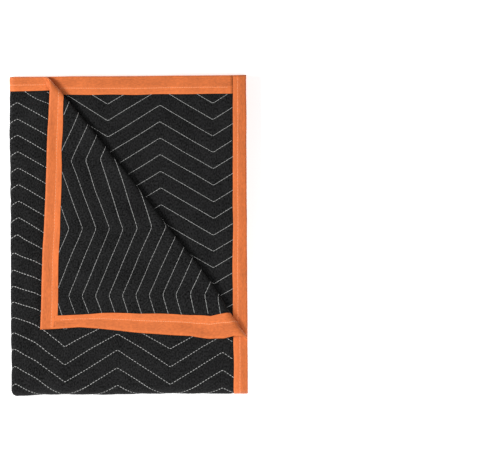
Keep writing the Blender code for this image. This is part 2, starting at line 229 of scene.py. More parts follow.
def uneven(points):
    """The packet's slight unevenness: nothing is quite straight or level."""
    height = np.clip(points[:, 2] / UNEVEN_HEIGHT, 0, 1.3)
    growing = height * height
    level = points * [1, 1, 0]
    side = np.stack([waves(points, *wave) for wave in SWAY_WAVES], axis=1) * SWAY
    fine = np.stack([waves(points, *wave) for wave in FINE_SWAY_WAVES], axis=1) * FINE_SWAY
    swaying = sum(amount * waves(level, *wave) for amount, *wave in LEVEL_WAVES)
    moved = points.copy()
    moved[:, :2] += (side + fine) * np.clip(height + 0.3, 0, 1)[:, None]
    moved[:, 2] += growing * swaying * MM
    for x, y, radius, rise in SWELLS:
        away = np.hypot(points[:, 0] - x, points[:, 1] - y) / radius
        moved[:, 2] += growing * rise * np.exp(-away * away)
    return moved


CORNER_SLIP = 0.012     # share by which the turned corner has slid along the crease
CORNER_LIFT = 0.006     # how far the turned corner's end stays off the layer under it
LIFT_START = 0.03       # run into the corner where the lift starts
LIFT_RUN = 0.08         # further run over which it grows

# Bow of the turned corner's short edge: place along it, how far the edge is drawn, how far
# the cloth BOW_INNER from the edge is drawn. It has faded out BOW_END from the edge
CORNER_BOW = (
    (0.000, -0.0014, 0.0010), (0.030, 0.0002, 0.0012), (0.075, 0.0029, 0.0015),
    (0.114, 0.0003, 0.0016), (0.151, -0.0029, 0.0017), (0.172, -0.0047, 0.0023),
    (0.200, -0.0068, 0.0038), (0.250, -0.0098, 0.0050), (0.288, -0.0112, 0.0045),
    (0.325, -0.0153, -0.0030), (0.355, -0.0130, -0.0040), (0.375, -0.0068, -0.0045),
    (0.386, -0.0054, -0.0045), (0.420, -0.0050, -0.0045),
)
BOW_INNER = 0.05
BOW_END = 0.14
BOW_RUN = 0.012         # run past the start of the roll over which the bow grows

# Bow of the crease: place along it, how far it is drawn towards the corner
CREASE_BOW = (
    (-0.294, -0.0025), (-0.278, -0.0020), (-0.260, -0.0005), (-0.245, 0.0005),
    (-0.226, 0.0025), (-0.198, 0.0050), (-0.120, 0.0052), (0.000, 0.0050), (0.115, 0.0047),
    (0.187, 0.0042), (0.227, 0.0030), (0.257, 0.0022), (0.270, 0.0),
)
CREASE_BOW_END = 0.070  # run into the corner where the crease's bow has faded out
CREASE_BOW_FADE = 0.045

# Cloth gathered beside the turned corner's end, in the upper folds: place across the pad,
# how far it has crept round the fold, how far it is drawn to the bound edge, and away from
# that edge in the fold itself
GATHER = (
    (0.025, 0.0, 0.0, 0.0), (0.050, 0.0, 0.009, 0.0), (0.240, 0.0, 0.009, 0.0),
    (0.280, 0.009, 0.0095, 0.005), (0.380, 0.009, 0.0095, 0.005), (0.430, 0.009, 0.0, 0.006),
    (0.480, 0.006, 0.0, 0.005), (0.520, 0.004, 0.0, 0.0),
)
CREPT, DRAWN, AWAY = 1, 2, 3

# Where along the pad each of them acts: places, and its strength there
GATHER_SPANS = {
    CREPT: ((0.37, 0.43, 0.49, 0.60), (0, 1, 1, 0)),
    DRAWN: ((0.30, 0.39, 0.448), (0, 1, 0)),
    AWAY: ((0.41, 0.445, 0.50, 0.60), (0, 1, 1, 0)),
}


def column(table, place, index):
    """A table's column read at a place between its rows."""
    rows = np.array(table)
    return np.interp(place, rows[:, 0], rows[:, index])


def gathered(s, t, index):
    """One of the gathered cloth's three shifts."""
    return column(GATHER, t, index) * np.interp(s, *GATHER_SPANS[index])


def corner_run(s, t):
    """Distance into the turned corner from where its cloth starts to roll, below zero outside."""
    run = CORNER_TO_CREASE + MIRROR_RUN - (CREASE_S * s + CREASE_T * t)
    bow = column(CREASE_BOW, CREASE_T * s - CREASE_S * t, 1)
    return run - bow * np.clip((CREASE_BOW_END - run) / CREASE_BOW_FADE, 0, 1)


def corner_bow(s, t, run):
    """How far the turned corner's short edge and the cloth beside it are drawn."""
    edge, inner = (column(CORNER_BOW, t, index) for index in (1, 2))
    near = edge + (inner - edge) * np.clip(s / BOW_INNER, 0, 1)
    fading = np.clip((BOW_END - s) / (BOW_END - BOW_INNER), 0, 1)
    return near * fading * np.clip(run / BOW_RUN, 0, 1)


def folded(s, t, w):
    """Places, as rows of x, y and z, of points of the flat pad once it is folded."""
    s, t, w = (np.array(part, dtype=float) for part in np.broadcast_arrays(s, t, w))
    crept = s + gathered(s, t, CREPT)
    x, z, heading = (np.interp(crept, SECTION[0], row) for row in SECTION[1:])
    x = x + w * np.sin(heading)
    z = z - w * np.cos(heading)
    radius = z + LAYER_PITCH / 2
    angle = math.pi * np.clip((t - STRAIGHT_WIDTH) / BEND_LENGTH, 0, 1)
    y = -np.minimum(t, STRAIGHT_WIDTH) - radius * np.sin(angle) + np.maximum(0, t - BEND_END)
    y = y + gathered(s, t, DRAWN)
    y = y - gathered(s, t, AWAY)
    z = -LAYER_PITCH / 2 + radius * np.cos(angle)
    run = corner_run(s, t)
    reach, height, heading = (np.interp(run, ROLL[0], row) for row in ROLL[1:])
    past_roll = np.maximum(0, run - ROLL_END)
    reach = reach - past_roll * CORNER_STRETCH
    shift = reach - w * np.sin(heading) - run
    on_corner = (run > 0) & (s < TOP_RUN) & (t < STRAIGHT_WIDTH)
    bow = corner_bow(s, t, run)
    slip = CORNER_SLIP * past_roll
    height = height + CORNER_LIFT * np.clip((run - LIFT_START) / LIFT_RUN, 0, 1)
    x = np.where(on_corner, TOP_RUN - s + CREASE_S * shift + CREASE_T * slip, x)
    y = np.where(on_corner, -t + CREASE_T * shift - CREASE_S * slip + bow, y)
    z = np.where(on_corner, (LAYERS - 1) * LAYER_PITCH + height + w * np.cos(heading), z)
    return uneven(np.stack([x, y, z], axis=-1).reshape(-1, 3) + SHIFT)


# Quilting

def zigzag_corners():
    """Corners of the zigzag along the pad: place, and how far the seam has dropped there."""
    places = []
    for i in range(TOP_ZIGZAGS + 1):
        places.append((FIRST_PEAK_TOP + (i - 1) * HALF_ZIGZAG, (i + 1) % 2))
    places.append((TOP_FOLD_PEAK, 0))
    last_peak = PAD_LENGTH - FIRST_PEAK_SECOND - 2 * HALF_ZIGZAG
    step = (last_peak - TOP_FOLD_PEAK) / HIDDEN_ZIGZAGS
    places += [(TOP_FOLD_PEAK + i * step, i % 2) for i in range(1, HIDDEN_ZIGZAGS)]
    places += [(last_peak + i * HALF_ZIGZAG, i % 2) for i in range(SECOND_CORNERS)]
    return np.array([
        (s, column(SEAM_OFFSETS, s, 1) + low * ZIGZAG_HEIGHT) for s, low in places
    ])


ZIGZAG = zigzag_corners()


def seam_drop(s):
    """Distance from the edge to the first seam, rounded a little at the zigzag's corners."""
    near = np.linspace(-0.5, 0.5, 7) * SEAM_TURN
    return sum(np.interp(s + shift, ZIGZAG[:, 0], ZIGZAG[:, 1]) for shift in near) / len(near)


def drifted(even):
    """Distance from the edge of a seam that would lie at an even distance without the drift."""
    return np.interp(even, SEAM_DRIFT[:, 0] + SEAM_DRIFT[:, 1], SEAM_DRIFT[:, 0])


def face_column(side):
    """The column of a binding's widths that holds one face."""
    return 1 if side == OUTER else 2


def under_binding(side, s, t):
    """Distance past the nearest binding on one face, less than zero under it."""
    index = face_column(side)
    return np.minimum.reduce([
        t - column(LONG_UPPER, s, index),
        PAD_WIDTH - t - column(LONG_LOWER, s, index),
        s - column(SHORT_TURNED, t, index),
        PAD_LENGTH - s - column(SHORT_SECOND, t, index),
    ])


PILLOW_SQUARENESS = 2.6
LIP_CLEARANCE = 0.3 * MM    # cloth past a binding that is still pressed flat
LIP_RISE = 7 * MM           # further cloth over which it swells to its full height
MEAN_FULLNESS = 0.90        # mean share of the crown
FULLNESS_WAVES = ((0.10, 0.045, 11), (0.06, 0.016, 12))     # share, bump distance, seed
FULLNESS_LIMITS = (0.4, 1.08)


def cloth_height(side, s, t):
    """Height of a face over the cloth's middle: pillows between seams, flat by the bindings."""
    even = t + np.interp(t, SEAM_DRIFT[:, 0], SEAM_DRIFT[:, 1])
    across = (even - seam_drop(s)) / SEAM_PITCH % 1.0
    pillow = 1 - np.abs(2 * across - 1) ** PILLOW_SQUARENESS
    place = np.stack([s, t, np.full_like(s, side * 0.3)], axis=-1)
    uneven_shares = (share * waves(place, *wave) for share, *wave in FULLNESS_WAVES)
    fullness = sum(uneven_shares, MEAN_FULLNESS)
    swell = np.clip((under_binding(side, s, t) - LIP_CLEARANCE) / LIP_RISE, 0, 1)
    swell = swell * swell * (3 - 2 * swell)
    fullness = np.clip(fullness, *FULLNESS_LIMITS)
    return HALF_SEAM + (HALF_CROWN - HALF_SEAM) * swell * pillow * fullness


# Meshes

def mesh_object(name, points, faces, flat, material, painted_shading=None):
    """A piece from its points and faces, with the flat pad's measures as its texture places."""
    mesh = bpy.data.meshes.new(name)
    mesh.from_pydata(points.tolist(), [], faces)
    mesh.shade_smooth()
    layer = mesh.uv_layers.new(name="flat_place")
    corners = np.empty(len(mesh.loops), dtype=np.int32)
    mesh.loops.foreach_get("vertex_index", corners)
    layer.data.foreach_set("uv", np.asarray(flat)[corners].astype(np.float32).ravel())
    # The bindings' painted shade, highlights and darkening along their section, kept as the point
    # attribute shade
    if painted_shading is not None:
        shade = mesh.attributes.new("shade", "FLOAT", "POINT")
        shade.data.foreach_set("value", np.asarray(painted_shading, dtype=np.float32))
    mesh.materials.append(material)
    piece = bpy.data.objects.new(name, mesh)
    bpy.context.scene.collection.objects.link(piece)
    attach(piece, "root")
    return piece


def outward(piece):
    """Turn a closed piece's faces outwards."""
    work = bmesh.new()
    work.from_mesh(piece.data)
    bmesh.ops.recalc_face_normals(work, faces=work.faces[:])
    if work.calc_volume(signed=True) < 0:
        bmesh.ops.reverse_faces(work, faces=work.faces[:])
    work.to_mesh(piece.data)
    work.free()


def spaced(stops):
    """Places from stop to stop: rows of a start and the spacing up to the next start."""
    places = []
    for (start, spacing), (end, _) in zip(stops, stops[1:]):
        steps = max(1, round((end - start) / spacing))
        places += [start + (end - start) * step / steps for step in range(steps)]
    return np.array(places + [stops[-1][0]])


def tube_sides(rows, ring):
    """Faces between the rings of a tube whose points run ring by ring."""
    faces = []
    for row in range(rows - 1):
        for step in range(ring):
            after = (step + 1) % ring
            low, high = row * ring, (row + 1) * ring
            faces.append((low + step, low + after, high + after, high + step))
    return faces


# Rows of the cloth's mesh from one seam to the next, as shares of the way
FINE_ROWS = (0.0, 0.05, 0.16, 0.34, 0.5, 0.66, 0.84, 0.95)
COARSE_ROWS = (0.0,)
SHOWN_COLUMN = 4.4 * MM
HIDDEN_COLUMN = 40 * MM
TIGHT_COLUMN = 1.2 * MM


def cloth_columns(left_fold, second_layer):
    """Columns of one face's mesh, with their spacing in the left fold and the second layer."""
    return spaced((
        (0.0, SHOWN_COLUMN), (TOP_RUN, left_fold), (OUTER_FOLD_END, HIDDEN_COLUMN),
        (RIGHT_FOLD, TIGHT_COLUMN), (RIGHT_FOLD_END, HIDDEN_COLUMN), (INNER_FOLD, TIGHT_COLUMN),
        (SECOND_START, second_layer), (PAD_LENGTH, 0),
    ))


def cloth_face(work, side, columns, fine_until):
    """One face of the cloth as a sheared grid whose rows follow the seams."""
    rows = []
    for seam in range(FIRST_SEAM, SEAM_COUNT + 1):
        start = seam * SEAM_PITCH
        parts = FINE_ROWS if start < fine_until else COARSE_ROWS
        rows += [start + part * SEAM_PITCH for part in parts]
    drops = seam_drop(columns)
    grid = []
    for s, drop in zip(columns, drops):
        places = np.clip(drifted(np.maximum(0.0, drop + np.array(rows))), 0.0, PAD_WIDTH)
        grid.append([work.verts.new((s, t, side)) for t in places])
    for left, right in zip(grid, grid[1:]):
        for low in range(len(rows) - 1):
            work.faces.new((left[low], right[low], right[low + 1], left[low + 1]))


def zip_edge(work, one, other):
    """Close the strip between two rows of points that run the same way."""
    i, j = 0, 0
    while i < len(one) - 1 or j < len(other) - 1:
        one_left, other_left = i < len(one) - 1, j < len(other) - 1
        if not other_left or (one_left and one[i + 1][0] <= other[j + 1][0]):
            work.faces.new((one[i][1], one[i + 1][1], other[j][1]))
            i += 1
        else:
            work.faces.new((one[i][1], other[j + 1][1], other[j][1]))
            j += 1


SAME_SPOT = 1e-6


def quilted_pad(material):
    """The cloth: two quilted faces and the raw edges that the bindings cover."""
    work = bmesh.new()
    cloth_face(work, OUTER, cloth_columns(1.7 * MM, HIDDEN_COLUMN), PAD_WIDTH)
    cloth_face(work, INNER, cloth_columns(3 * MM, SHOWN_COLUMN), BEND_END + SEAM_PITCH)
    bmesh.ops.remove_doubles(work, verts=work.verts[:], dist=SAME_SPOT)
    for axis, limit in ((1, 0.0), (1, PAD_WIDTH), (0, 0.0), (0, PAD_LENGTH)):
        along = 1 - axis
        rows = []
        for side in (OUTER, INNER):
            on_edge = [
                v for v in work.verts
                if v.co.z * side > 0 and abs(v.co[axis] - limit) < SAME_SPOT
            ]
            rows.append(sorted(((v.co[along], v) for v in on_edge), key=lambda row: row[0]))
        zip_edge(work, *rows)
    flat = np.array([v.co for v in work.verts])
    work.verts.index_update()
    faces = [[v.index for v in face.verts] for face in work.faces]
    work.free()
    s, t, side = flat.T
    w = np.where(side > 0, cloth_height(OUTER, s, t), -cloth_height(INNER, s, t))
    points = folded(s, t, w)
    piece = mesh_object("pad_cloth", points, faces, flat[:, :2], material)
    outward(piece)
    return piece


# Bindings

def upper_edge(along, into):
    """s and t from a distance along the upper long edge and one into the cloth."""
    return along, into


def lower_edge(along, into):
    return along, PAD_WIDTH - into


def turned_edge(along, into):
    return into, along


def second_edge(along, into):
    return PAD_LENGTH - into, along


def face_profile(side):
    """A binding's face from its sewn lip to the fold: share of the width, height in mm, painted
    shade.
    """
    line = STITCH_LINE[side]
    # Painted shade: highlights along the lip and the stitch line, darker between the stitch line
    # and the fold
    return (
        (1.000, 1.45, 0.10), (1.000, 1.85, 0.12), (0.985, 2.00, 0.12), (0.95, 2.08, 0.04),
        (line + 0.2, 2.12, 0.0), (line + 0.06, 2.02, 0.04), (line, 1.66, 0.10),
        (line - 0.04, 2.04, -0.02), (line - 0.12, 2.20, -0.13),
        (0.25, 2.26, -0.14), (0.10, 2.24, -0.12), (0.04, 2.16, -0.04),
    )


FOLD_STEPS = 6
FOLD_REACH = 1.7        # mm past the cloth's edge
FOLD_HALF_HEIGHT = 2.1  # mm
FOLD_SQUARENESS = 0.8

# A binding's face against the cloth, from its lip to its fold: share of the width, height in mm
LINING = ((0.10, 1.52), (0.0, 1.35))
LINING_REACH = 1.1      # mm past the cloth's edge at the fold
LINING_HALF_HEIGHT = 0.7


def binding_section():
    """The closed section of a binding.

    Rows of the side, a share of that side's width, then in mm an extra reach into the cloth and
    a height, and the painted shade.
    """
    outer = [(OUTER, share, 0.0, height, shade) for share, height, shade in face_profile(OUTER)]
    inner = [(INNER, share, 0.0, -height, shade) for share, height, shade in face_profile(INNER)]
    fold = []
    for step in range(1, FOLD_STEPS):
        angle = math.pi * step / FOLD_STEPS
        side = OUTER if math.cos(angle) >= 0 else INNER
        reach = -FOLD_REACH * math.sin(angle) ** FOLD_SQUARENESS
        fold.append((side, 0.0, reach, FOLD_HALF_HEIGHT * math.cos(angle), 0.0))
    lining_outer = [(OUTER, share, 0.0, height, 0.0) for share, height in LINING]
    lining_inner = [(INNER, share, 0.0, -height, 0.0) for share, height in LINING]
    back = [
        (INNER, 0.0, -LINING_REACH, -LINING_HALF_HEIGHT, 0.0),
        (OUTER, 0.0, -LINING_REACH, LINING_HALF_HEIGHT, 0.0),
    ]
    return outer + fold + inner[::-1] + lining_inner + back + lining_outer[::-1]


EDGE_WOBBLE = 0.45 * MM
EDGE_WAVES = (0.05, 21)     # distance between bumps, seed
TAPE_PUFF = 0.04
PUFF_WAVES = (0.018, 22)
PUFF_SPAN = (0.05, 0.99)    # shares of the tape's width between which it puffs
END_FADE = 20           # the wobble fades over a twentieth of the strip towards a butted end


def binding_piece(name, table, start, end, place, stops, material, seed):
    """A strip of tape folded over one edge of the cloth.

    table: its widths. start, end: where it ends on the outer and on the inner face.
    place: turns a distance along the edge and one into the cloth into s and t.
    stops: rows of a place along the edge and the spacing of the mesh from there on.
    seed: sets this strip's unevenness apart from the others'.
    """
    section = binding_section()
    alongs = spaced(stops)
    ring = len(section)
    shares = (alongs - alongs[0]) / (alongs[-1] - alongs[0])
    flat, painted_shading, heights = [], [], []
    for share, along in zip(shares, alongs):
        spots = np.array([[along, seed, 0.0], [along, seed + 0.5, 0.0]])
        wobble = waves(spots, *EDGE_WAVES) * EDGE_WOBBLE
        puff = waves(np.array([[along, seed, 0.7]]), *PUFF_WAVES)[0]
        from_butt = share if start[0] != start[1] else 1 - share
        for side, part, reach, height, shade in section:
            index = face_column(side)
            spot = along
            if share == 0.0:
                spot = along + (start[index - 1] - alongs[0])
            elif share == 1.0:
                spot = along + (end[index - 1] - alongs[-1])
            uneven_edge = wobble[index - 1] * min(1.0, END_FADE * from_butt)
            width = column(table, spot, index) + uneven_edge
            flat.append((spot, part * width + reach * MM))
            swell = 1.0 + TAPE_PUFF * puff if PUFF_SPAN[0] < part < PUFF_SPAN[1] else 1.0
            heights.append(height * MM * swell)
            # painted shade of this row of the section: highlights at the lip and the stitch line,
            # darker towards the fold
            painted_shading.append(shade)
    flat = np.array(flat)
    faces = tube_sides(len(alongs), ring)
    faces.append(tuple(range(ring)))
    faces.append(tuple(len(flat) - ring + step for step in range(ring))[::-1])
    s, t = place(flat[:, 0], flat[:, 1])
    points = folded(s, t, np.array(heights))
    piece = mesh_object(name, points, faces, flat, material, painted_shading)
    outward(piece)
    return piece


def bindings(material):
    """The four strips: at each corner one runs through and the other butts against it."""
    crease_s = CORNER_TO_CREASE / CREASE_S
    crease_t = CORNER_TO_CREASE / CREASE_T
    roll = 35 * MM      # half of the length that gets a close mesh at the crease
    tight, bend, plain, hidden, hidden_upper = 1.0 * MM, 2 * MM, 3.5 * MM, 6 * MM, 8 * MM
    through = -EDGE_REACH
    past_length, past_width = PAD_LENGTH + EDGE_REACH, PAD_WIDTH + EDGE_REACH
    upper_end = tuple(PAD_LENGTH - width - BUTT_GAP for width in SHORT_SECOND[0][1:])
    turned_start = tuple(width + BUTT_GAP for width in LONG_UPPER[0][1:])
    second_end = tuple(PAD_WIDTH - width - BUTT_GAP for width in LONG_LOWER[0][1:])
    lower_start = tuple(width + BUTT_GAP for width in SHORT_TURNED[-1][1:])
    upper_stops = (
        (through, plain), (crease_s - roll, tight), (crease_s + roll / 2, plain),
        (TOP_RUN, tight), (OUTER_FOLD_END, hidden_upper), (RIGHT_FOLD, tight),
        (RIGHT_FOLD_END, hidden_upper), (INNER_FOLD, tight), (SECOND_START, plain),
        (upper_end[0], 0),
    )
    turned_stops = (
        (turned_start[0], plain), (crease_t - roll, tight), (crease_t + roll / 2, plain),
        (STRAIGHT_WIDTH, bend), (BEND_END, plain), (past_width, 0),
    )
    second_stops = (
        (through, plain), (STRAIGHT_WIDTH, bend), (BEND_END, hidden), (second_end[0], 0),
    )
    lower_stops = (
        (lower_start[0], plain), (TOP_RUN, tight), (OUTER_FOLD_END, hidden), (RIGHT_FOLD, tight),
        (RIGHT_FOLD_END, hidden), (INNER_FOLD, tight), (SECOND_START, hidden), (past_length, 0),
    )
    return [
        binding_piece(
            "binding_upper", LONG_UPPER, (through, through), upper_end,
            upper_edge, upper_stops, material, 1.0,
        ),
        binding_piece(
            "binding_turned", SHORT_TURNED, turned_start, (past_width, past_width),
            turned_edge, turned_stops, material, 2.0,
        ),
        binding_piece(
            "binding_second", SHORT_SECOND, (through, through), second_end,
            second_edge, second_stops, material, 3.0,
        ),
        binding_piece(
            "binding_lower", LONG_LOWER, lower_start, (past_length, past_length),
            lower_edge, lower_stops, material, 4.0,
        ),
    ]


# Thread

# Rings of one stitch: share of half its length, share of half its width, share of its height
STITCH_RINGS = (
    (-1.0, 0.35, -0.35), (-0.72, 0.9, 0.55), (0.0, 1.0, 1.0), (0.72, 0.9, 0.55),
    (1.0, 0.35, -0.35),
)
STITCH_SIDES = 5
STITCH_ARCH = 0.6       # share of a stitch's height that its arch makes up, the rest is thread


def stitches(name, middles, ways, base, sizes, side, material):
    """One mesh of many stitches, each a short bead of thread lying along its seam.

    middles, ways: where each lies on the flat pad, and its direction. base: their height over
    the cloth's middle. sizes: rows of length, width and height.
    """
    points = []
    across = np.stack([-ways[:, 1], ways[:, 0]], axis=1)
    for along, wide, high in STITCH_RINGS:
        for step in range(STITCH_SIDES):
            angle = 2 * math.pi * (step + 0.5) / STITCH_SIDES
            sideways = math.cos(angle) * wide * sizes[:, 1:2] / 2
            spot = middles + ways * along * sizes[:, :1] / 2 + across * sideways
            rise = high * STITCH_ARCH + math.sin(angle) * (1 - STITCH_ARCH) * wide
            lift = base + sizes[:, 2] * rise
            points.append(np.concatenate([spot, side * lift[:, None]], axis=1))
    points = np.array(points).transpose(1, 0, 2).reshape(-1, 3)
    bead = len(STITCH_RINGS) * STITCH_SIDES
    shape = tube_sides(len(STITCH_RINGS), STITCH_SIDES)
    shape.append(tuple(range(STITCH_SIDES))[::-1])
    shape.append(tuple(bead - STITCH_SIDES + step for step in range(STITCH_SIDES)))
    faces = []
    for number in range(len(middles)):
        faces += [tuple(corner + number * bead for corner in face) for face in shape]
    places = folded(points[:, 0], points[:, 1], points[:, 2])
    piece = mesh_object(name, places, faces, points[:, :2], material)
    outward(piece)
    return piece


SEAM_STITCH_PITCH = 5.8 * MM
STITCH_SPREAD = 0.12 * MM
SEAM_TRACE = 0.25 * MM      # steps in which a seam's length is measured
SEAM_SEEDS = {OUTER: 31, INNER: 32}


def seam_spots(side, shown):
    """Middles and directions of the stitches of every seam on one face, where shown says so."""
    dice = np.random.default_rng(SEAM_SEEDS[side])
    along = np.arange(0, PAD_LENGTH, SEAM_TRACE)
    drop = seam_drop(along)
    length = np.concatenate([[0.0], np.cumsum(np.hypot(np.diff(along), np.diff(drop)))])
    middles, ways = [], []
    for seam in range(FIRST_SEAM, SEAM_COUNT):
        first = dice.uniform(0, SEAM_STITCH_PITCH)
        steps = np.arange(first, length[-1], SEAM_STITCH_PITCH)
        steps = steps + dice.normal(0, STITCH_SPREAD, len(steps))
        s = np.interp(steps, length, along)
        even = np.interp(s, along, drop) + seam * SEAM_PITCH
        t = np.where(even > 0, drifted(even), even)
        ahead = np.interp(s + MM, along, drop) - np.interp(s - MM, along, drop)
        way = np.stack([np.full_like(s, 2 * MM), ahead], axis=1)
        way /= np.linalg.norm(way, axis=1)[:, None]
        keep = (t > 0) & (t < PAD_WIDTH)
        keep &= (under_binding(side, s, t) > 0) & shown(s, t)
        middles.append(np.stack([s, t], axis=1)[keep])
        ways.append(way[keep])
    return np.concatenate(middles), np.concatenate(ways)


CREASE_MARGIN = 2 * MM      # seams run on this far round the crease
HIDDEN_MARGIN = 25 * MM     # and this far under the turned corner


def shown_outside(s, t):
    """The top layer, its folds at the left and the front, and the layer at the bottom."""
    in_fold = (s > TOP_RUN) & (s < OUTER_FOLD_END)
    return in_fold | ((s <= TOP_RUN) & (corner_run(s, t) < 0))


def shown_inside(s, t):
    """The turned corner and the part of the second layer that it bares."""
    second_s = PAD_LENGTH - s + TOP_OVERHANG
    corner = (s < TOP_RUN) & (corner_run(s, t) > -CREASE_MARGIN)
    bared = CORNER_TO_CREASE - CREASE_S * second_s - CREASE_T * t
    return (corner | ((s > SECOND_START) & (bared > -HIDDEN_MARGIN))) & (t < STRAIGHT_WIDTH)


# Stitches of the seams and of the bindings: length, width and height in mm
SEAM_THREAD = {OUTER: (4.2, 1.05, 0.50), INNER: (5.6, 0.75, 0.40)}
BINDING_THREAD = (3.7, 0.75, 0.40)
SEAM_THREAD_BASE = HALF_SEAM + 0.1 * MM
BINDING_THREAD_BASE = 1.72 * MM
BINDING_STITCH_PITCH = 4.6 * MM
THREAD_SEED = 41


def seam_stitches(material):
    """Grey seams: plump separate stitches outside, a thinner and nearly unbroken line inside."""
    pieces = []
    for side, shown, name in (
        (OUTER, shown_outside, "seam_stitches_outer"),
        (INNER, shown_inside, "seam_stitches_inner"),
    ):
        middles, ways = seam_spots(side, shown)
        dice = np.random.default_rng(THREAD_SEED)
        sizes = np.array(SEAM_THREAD[side]) * MM * dice.uniform(0.9, 1.1, (len(middles), 3))
        pieces.append(stitches(
            name, middles, ways, SEAM_THREAD_BASE, sizes, side, material,
        ))
    return pieces


def binding_stitches(material):
    """The row of thread along each binding, on both faces."""
    # Each row's start and end keep clear of the strip that it meets
    rows = (
        (LONG_UPPER, upper_edge, -EDGE_REACH, PAD_LENGTH - 28 * MM),
        (SHORT_TURNED, turned_edge, 34 * MM, PAD_WIDTH),
        (SHORT_SECOND, second_edge, 0.0, PAD_WIDTH - 28 * MM),
        (LONG_LOWER, lower_edge, 32 * MM, PAD_LENGTH),
    )
    pitch = BINDING_STITCH_PITCH
    pieces = []
    for side, name in ((OUTER, "binding_stitches_outer"), (INNER, "binding_stitches_inner")):
        middles, ways = [], []
        for table, place, start, end in rows:
            along = np.arange(start + pitch, end - pitch, pitch)
            into = column(table, along, face_column(side)) * STITCH_LINE[side]
            here = np.stack(place(along, into), axis=1)
            ahead = np.stack(place(along + MM, np.interp(along + MM, along, into)), axis=1)
            way = ahead - here
            middles.append(here)
            ways.append(way / np.linalg.norm(way, axis=1)[:, None])
        middles, ways = np.concatenate(middles), np.concatenate(ways)
        sizes = np.tile(np.array(BINDING_THREAD) * MM, (len(middles), 1))
        pieces.append(stitches(
            name, middles, ways, BINDING_THREAD_BASE, sizes, side, material,
        ))
    return pieces


# Finishes

BLACK_CLOTH = (0.0100, 0.0100, 0.0102)
ORANGE_TAPE = (0.655, 0.158, 0.040)
GREY_THREAD = (0.44, 0.44, 0.43)
PEACH_THREAD = (0.90, 0.42, 0.22)


def add_node(tree, kind, place=(0, 0), **settings):
    """A new node at a place in the tree, with its settings."""
    node = tree.nodes.new(kind)
    node.location = place
    for key, value in settings.items():
        setattr(node, key, value)
    return node


def fibre_grain_group():
    """Fine fibres and soft blotches: a shade about 1 and a height from 0 to 1."""
    group = bpy.data.node_groups.new("fibre_grain", "ShaderNodeTree")
    sockets = group.interface
    sockets.new_socket("Place", in_out="INPUT", socket_type="NodeSocketVector")
    for name in ("Fibre Scale", "Fibre Contrast", "Blotch Scale", "Blotch Contrast"):
        sockets.new_socket(name, in_out="INPUT", socket_type="NodeSocketFloat")
    sockets.new_socket("Shade", in_out="OUTPUT", socket_type="NodeSocketFloat")
    sockets.new_socket("Height", in_out="OUTPUT", socket_type="NodeSocketFloat")
    link = group.links.new
    inward = add_node(group, "NodeGroupInput", (-800, 0))
    outward_node = add_node(group, "NodeGroupOutput", (600, 0))
    fibre = add_node(group, "ShaderNodeTexNoise", (-500, 200))
    fibre.inputs["Detail"].default_value = 3.0
    fibre.inputs["Roughness"].default_value = 0.65
    blotch = add_node(group, "ShaderNodeTexNoise", (-500, -200))
    blotch.inputs["Detail"].default_value = 4.0
    blotch.inputs["Roughness"].default_value = 0.6
    for node, scale in ((fibre, "Fibre Scale"), (blotch, "Blotch Scale")):
        link(inward.outputs["Place"], node.inputs["Vector"])
        link(inward.outputs[scale], node.inputs["Scale"])
    parts = []
    for node, contrast in ((fibre, "Fibre Contrast"), (blotch, "Blotch Contrast")):
        centred = add_node(group, "ShaderNodeMath", (-250, 0), operation="SUBTRACT")
        centred.inputs[1].default_value = 0.5
        link(node.outputs["Fac"], centred.inputs[0])
        scaled = add_node(group, "ShaderNodeMath", (-50, 0), operation="MULTIPLY")
        link(centred.outputs[0], scaled.inputs[0])
        link(inward.outputs[contrast], scaled.inputs[1])
        parts.append(scaled)
    both = add_node(group, "ShaderNodeMath", (150, 0), operation="ADD")
    link(parts[0].outputs[0], both.inputs[0])
    link(parts[1].outputs[0], both.inputs[1])
    around_one = add_node(group, "ShaderNodeMath", (350, 0), operation="ADD")
    around_one.inputs[1].default_value = 1.0
    link(both.outputs[0], around_one.inputs[0])
    link(around_one.outputs[0], outward_node.inputs["Shade"])
    link(fibre.outputs["Fac"], outward_node.inputs["Height"])
    return group


def new_finish(name, roughness, sheen, specular):
    """A material and its shader."""
    material = bpy.data.materials.new(name)
    material.use_nodes = True
    shader = material.node_tree.nodes["Principled BSDF"]
    shader.inputs["Roughness"].default_value = roughness
    shader.inputs["Sheen Weight"].default_value = sheen
    shader.inputs["Specular IOR Level"].default_value = specular
    return material, shader


def shaded_colour(tree, shade, colour):
    """A colour multiplied by a shade."""
    mix = add_node(tree, "ShaderNodeVectorMath", (-300, 200), operation="SCALE")
    mix.inputs[0].default_value = colour
    tree.links.new(shade, mix.inputs["Scale"])
    return mix.outputs[0]


def grain(tree, group, stretch, **values):
    """Fibre grain placed by the flat pad's measures, in metres, and drawn out by stretch."""
    place = add_node(tree, "ShaderNodeUVMap", (-1100, 0), uv_map="flat_place")
    scaled = add_node(tree, "ShaderNodeMapping", (-900, 0))
    scaled.inputs["Scale"].default_value = stretch
    tree.links.new(place.outputs[0], scaled.inputs["Vector"])
    node = add_node(tree, "ShaderNodeGroup", (-650, 0), node_tree=group)
    tree.links.new(scaled.outputs[0], node.inputs["Place"])
    for key, value in values.items():
        node.inputs[key.replace("_", " ").title()].default_value = value
    return node


def bump(tree, shader, height, strength, distance):
    """Small relief from a height."""
    node = add_node(tree, "ShaderNodeBump", (-300, -250))
    node.inputs["Strength"].default_value = strength
    node.inputs["Distance"].default_value = distance
    tree.links.new(height, node.inputs["Height"])
    tree.links.new(node.outputs[0], shader.inputs["Normal"])


